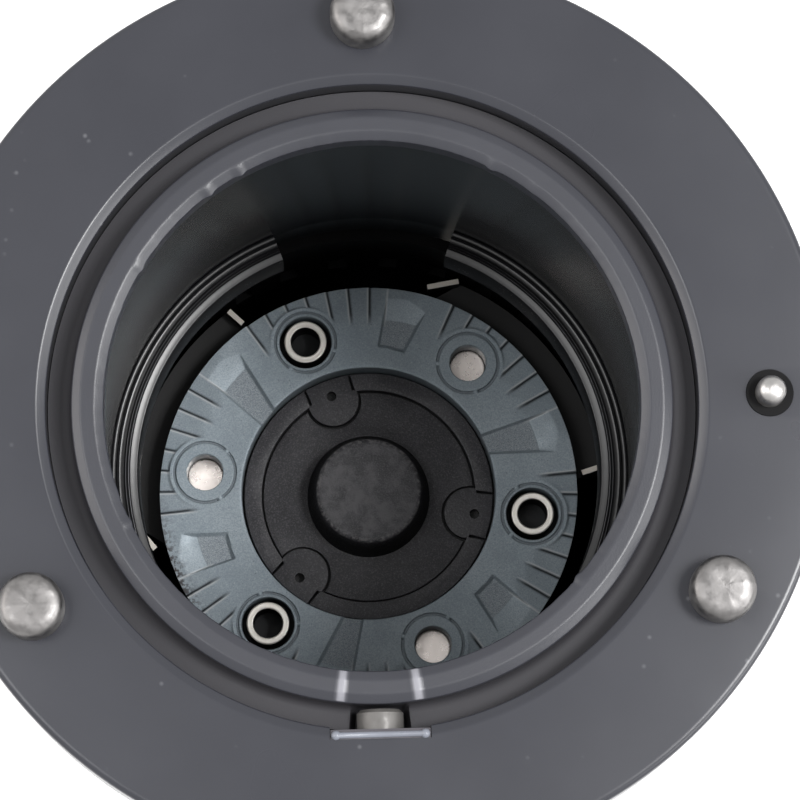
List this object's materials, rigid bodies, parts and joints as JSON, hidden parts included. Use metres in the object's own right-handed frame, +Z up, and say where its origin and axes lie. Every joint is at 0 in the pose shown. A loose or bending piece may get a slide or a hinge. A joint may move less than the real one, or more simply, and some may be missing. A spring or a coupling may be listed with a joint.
{
  "type": "kitchen garbage disposal",
  "caption": "Compact batch-feed food-waste disposer: round mounting plate with studs, deep throat, toothed grinding disc on a motor, side drain elbow.",
  "frame": {"origin": "centre of the throat mouth in the plane of the mounting plate", "axes": "+Z up along the motor shaft, out of the throat; -Y towards the latch; +Y towards the drain outlet"},
  "size_m": [0.173, 0.198, 0.3065],
  "materials": {
    "deck_plastic": "satin moulded, blue-grey",
    "throat_plastic": "smooth moulded, dark grey",
    "gloss_black": "glossy black",
    "cast_steel": "tumbled grey metal",
    "zinc_steel": "zinc plated",
    "polished_steel": "polished",
    "pale_steel": "fine ground, pale",
    "rubber_black": "black rubber",
    "black_plastic": "moulded black",
    "hub_plastic": "fine textured black",
    "disc_iron": "cast, ground top, bluish grey",
    "lamination_steel": "laminated edge",
    "cast_aluminium": "die cast",
    "bronze": "sintered bronze",
    "copper_winding": "varnished copper wire",
    "shell_plastic": "satin moulded, dark grey",
    "foam": "acoustic foam",
    "brushed_trim": "brushed",
    "red_plastic": "red moulded",
    "green_paint": "green painted"
  },
  "bodies": {
    "machine": {"base_cover": "black_plastic", "base_screws": "zinc_steel", "bayonet_ring": "gloss_black", "cable_gland": "black_plastic", "chamber_gasket": "rubber_black", "chamber_screws": "zinc_steel", "dishwasher_inlet": "black_plastic", "feet": "rubber_black", "gland_nut": "black_plastic", "grind_housing": "black_plastic", "ground_screw": "green_paint", "housing_screws": "zinc_steel", "inlet_grommet": "rubber_black", "interlock_collar": "rubber_black", "interlock_spring": "polished_steel", "interlock_switch": "black_plastic", "latch_block": "deck_plastic", "latch_cap": "zinc_steel", "latch_spring": "polished_steel", "lower_bearing": "bronze", "lower_end_bell": "cast_aluminium", "lower_shell": "shell_plastic", "mount_studs": "cast_steel", "mounting_plate": "deck_plastic", "neck_seal": "rubber_black", "outlet_elbow": "black_plastic", "outlet_gasket": "rubber_black", "outlet_screws": "zinc_steel", "overload_protector": "black_plastic", "reset_spring": "polished_steel", "shaft_seal": "rubber_black", "shredder_ring": "gloss_black", "sound_jacket": "foam", "stator_core": "lamination_steel", "stator_windings": "copper_winding", "stud_nuts": "zinc_steel", "terminal_block": "black_plastic", "terminal_screws": "bronze", "throat_screws": "zinc_steel", "throat_tube": "throat_plastic", "through_bolts": "zinc_steel", "trim_band": "brushed_trim", "upper_bearing": "bronze", "upper_end_bell": "cast_aluminium", "upper_shell": "shell_plastic"},
    "rotor": {"grinding_disc": "disc_iron", "disc_bushings": "polished_steel", "disc_pins": "pale_steel", "hub_ring": "hub_plastic", "hub_plate": "hub_plastic", "hub_cap": "hub_plastic", "shaft_nut": "zinc_steel", "vane_carrier": "gloss_black", "motor_shaft": "polished_steel", "water_slinger": "rubber_black", "rotor_core": "lamination_steel", "rotor_end_rings": "cast_aluminium"},
    "pin": {"interlock_pin": "polished_steel"},
    "plunger": {"latch_plunger": "polished_steel"},
    "reset": {"reset_button": "red_plastic"}
  },
  "joints": [
    {"name": "rotor_spin", "type": "hinge", "parent": "machine", "child": "rotor", "pos_m": [0, 0, -0.12], "axis": [0, 0, 1], "continuous": true},
    {"name": "interlock_press", "type": "slide", "parent": "machine", "child": "pin", "axis": [0, 0, -1], "range_m": [0, 0.003], "stiffness_N_per_m": 400, "springref_m": -0.004, "deforming": ["interlock_spring"]},
    {"name": "plunger_retract", "type": "slide", "parent": "machine", "child": "plunger", "axis": [0, -1, 0], "range_m": [0, 0.0035], "stiffness_N_per_m": 500, "springref_m": -0.003, "deforming": ["latch_spring"]},
    {"name": "reset_press", "type": "slide", "parent": "machine", "child": "reset", "axis": [0, 0, 1], "range_m": [0, 0.002], "stiffness_N_per_m": 300, "springref_m": -0.003, "deforming": ["reset_spring"]}
  ]
}
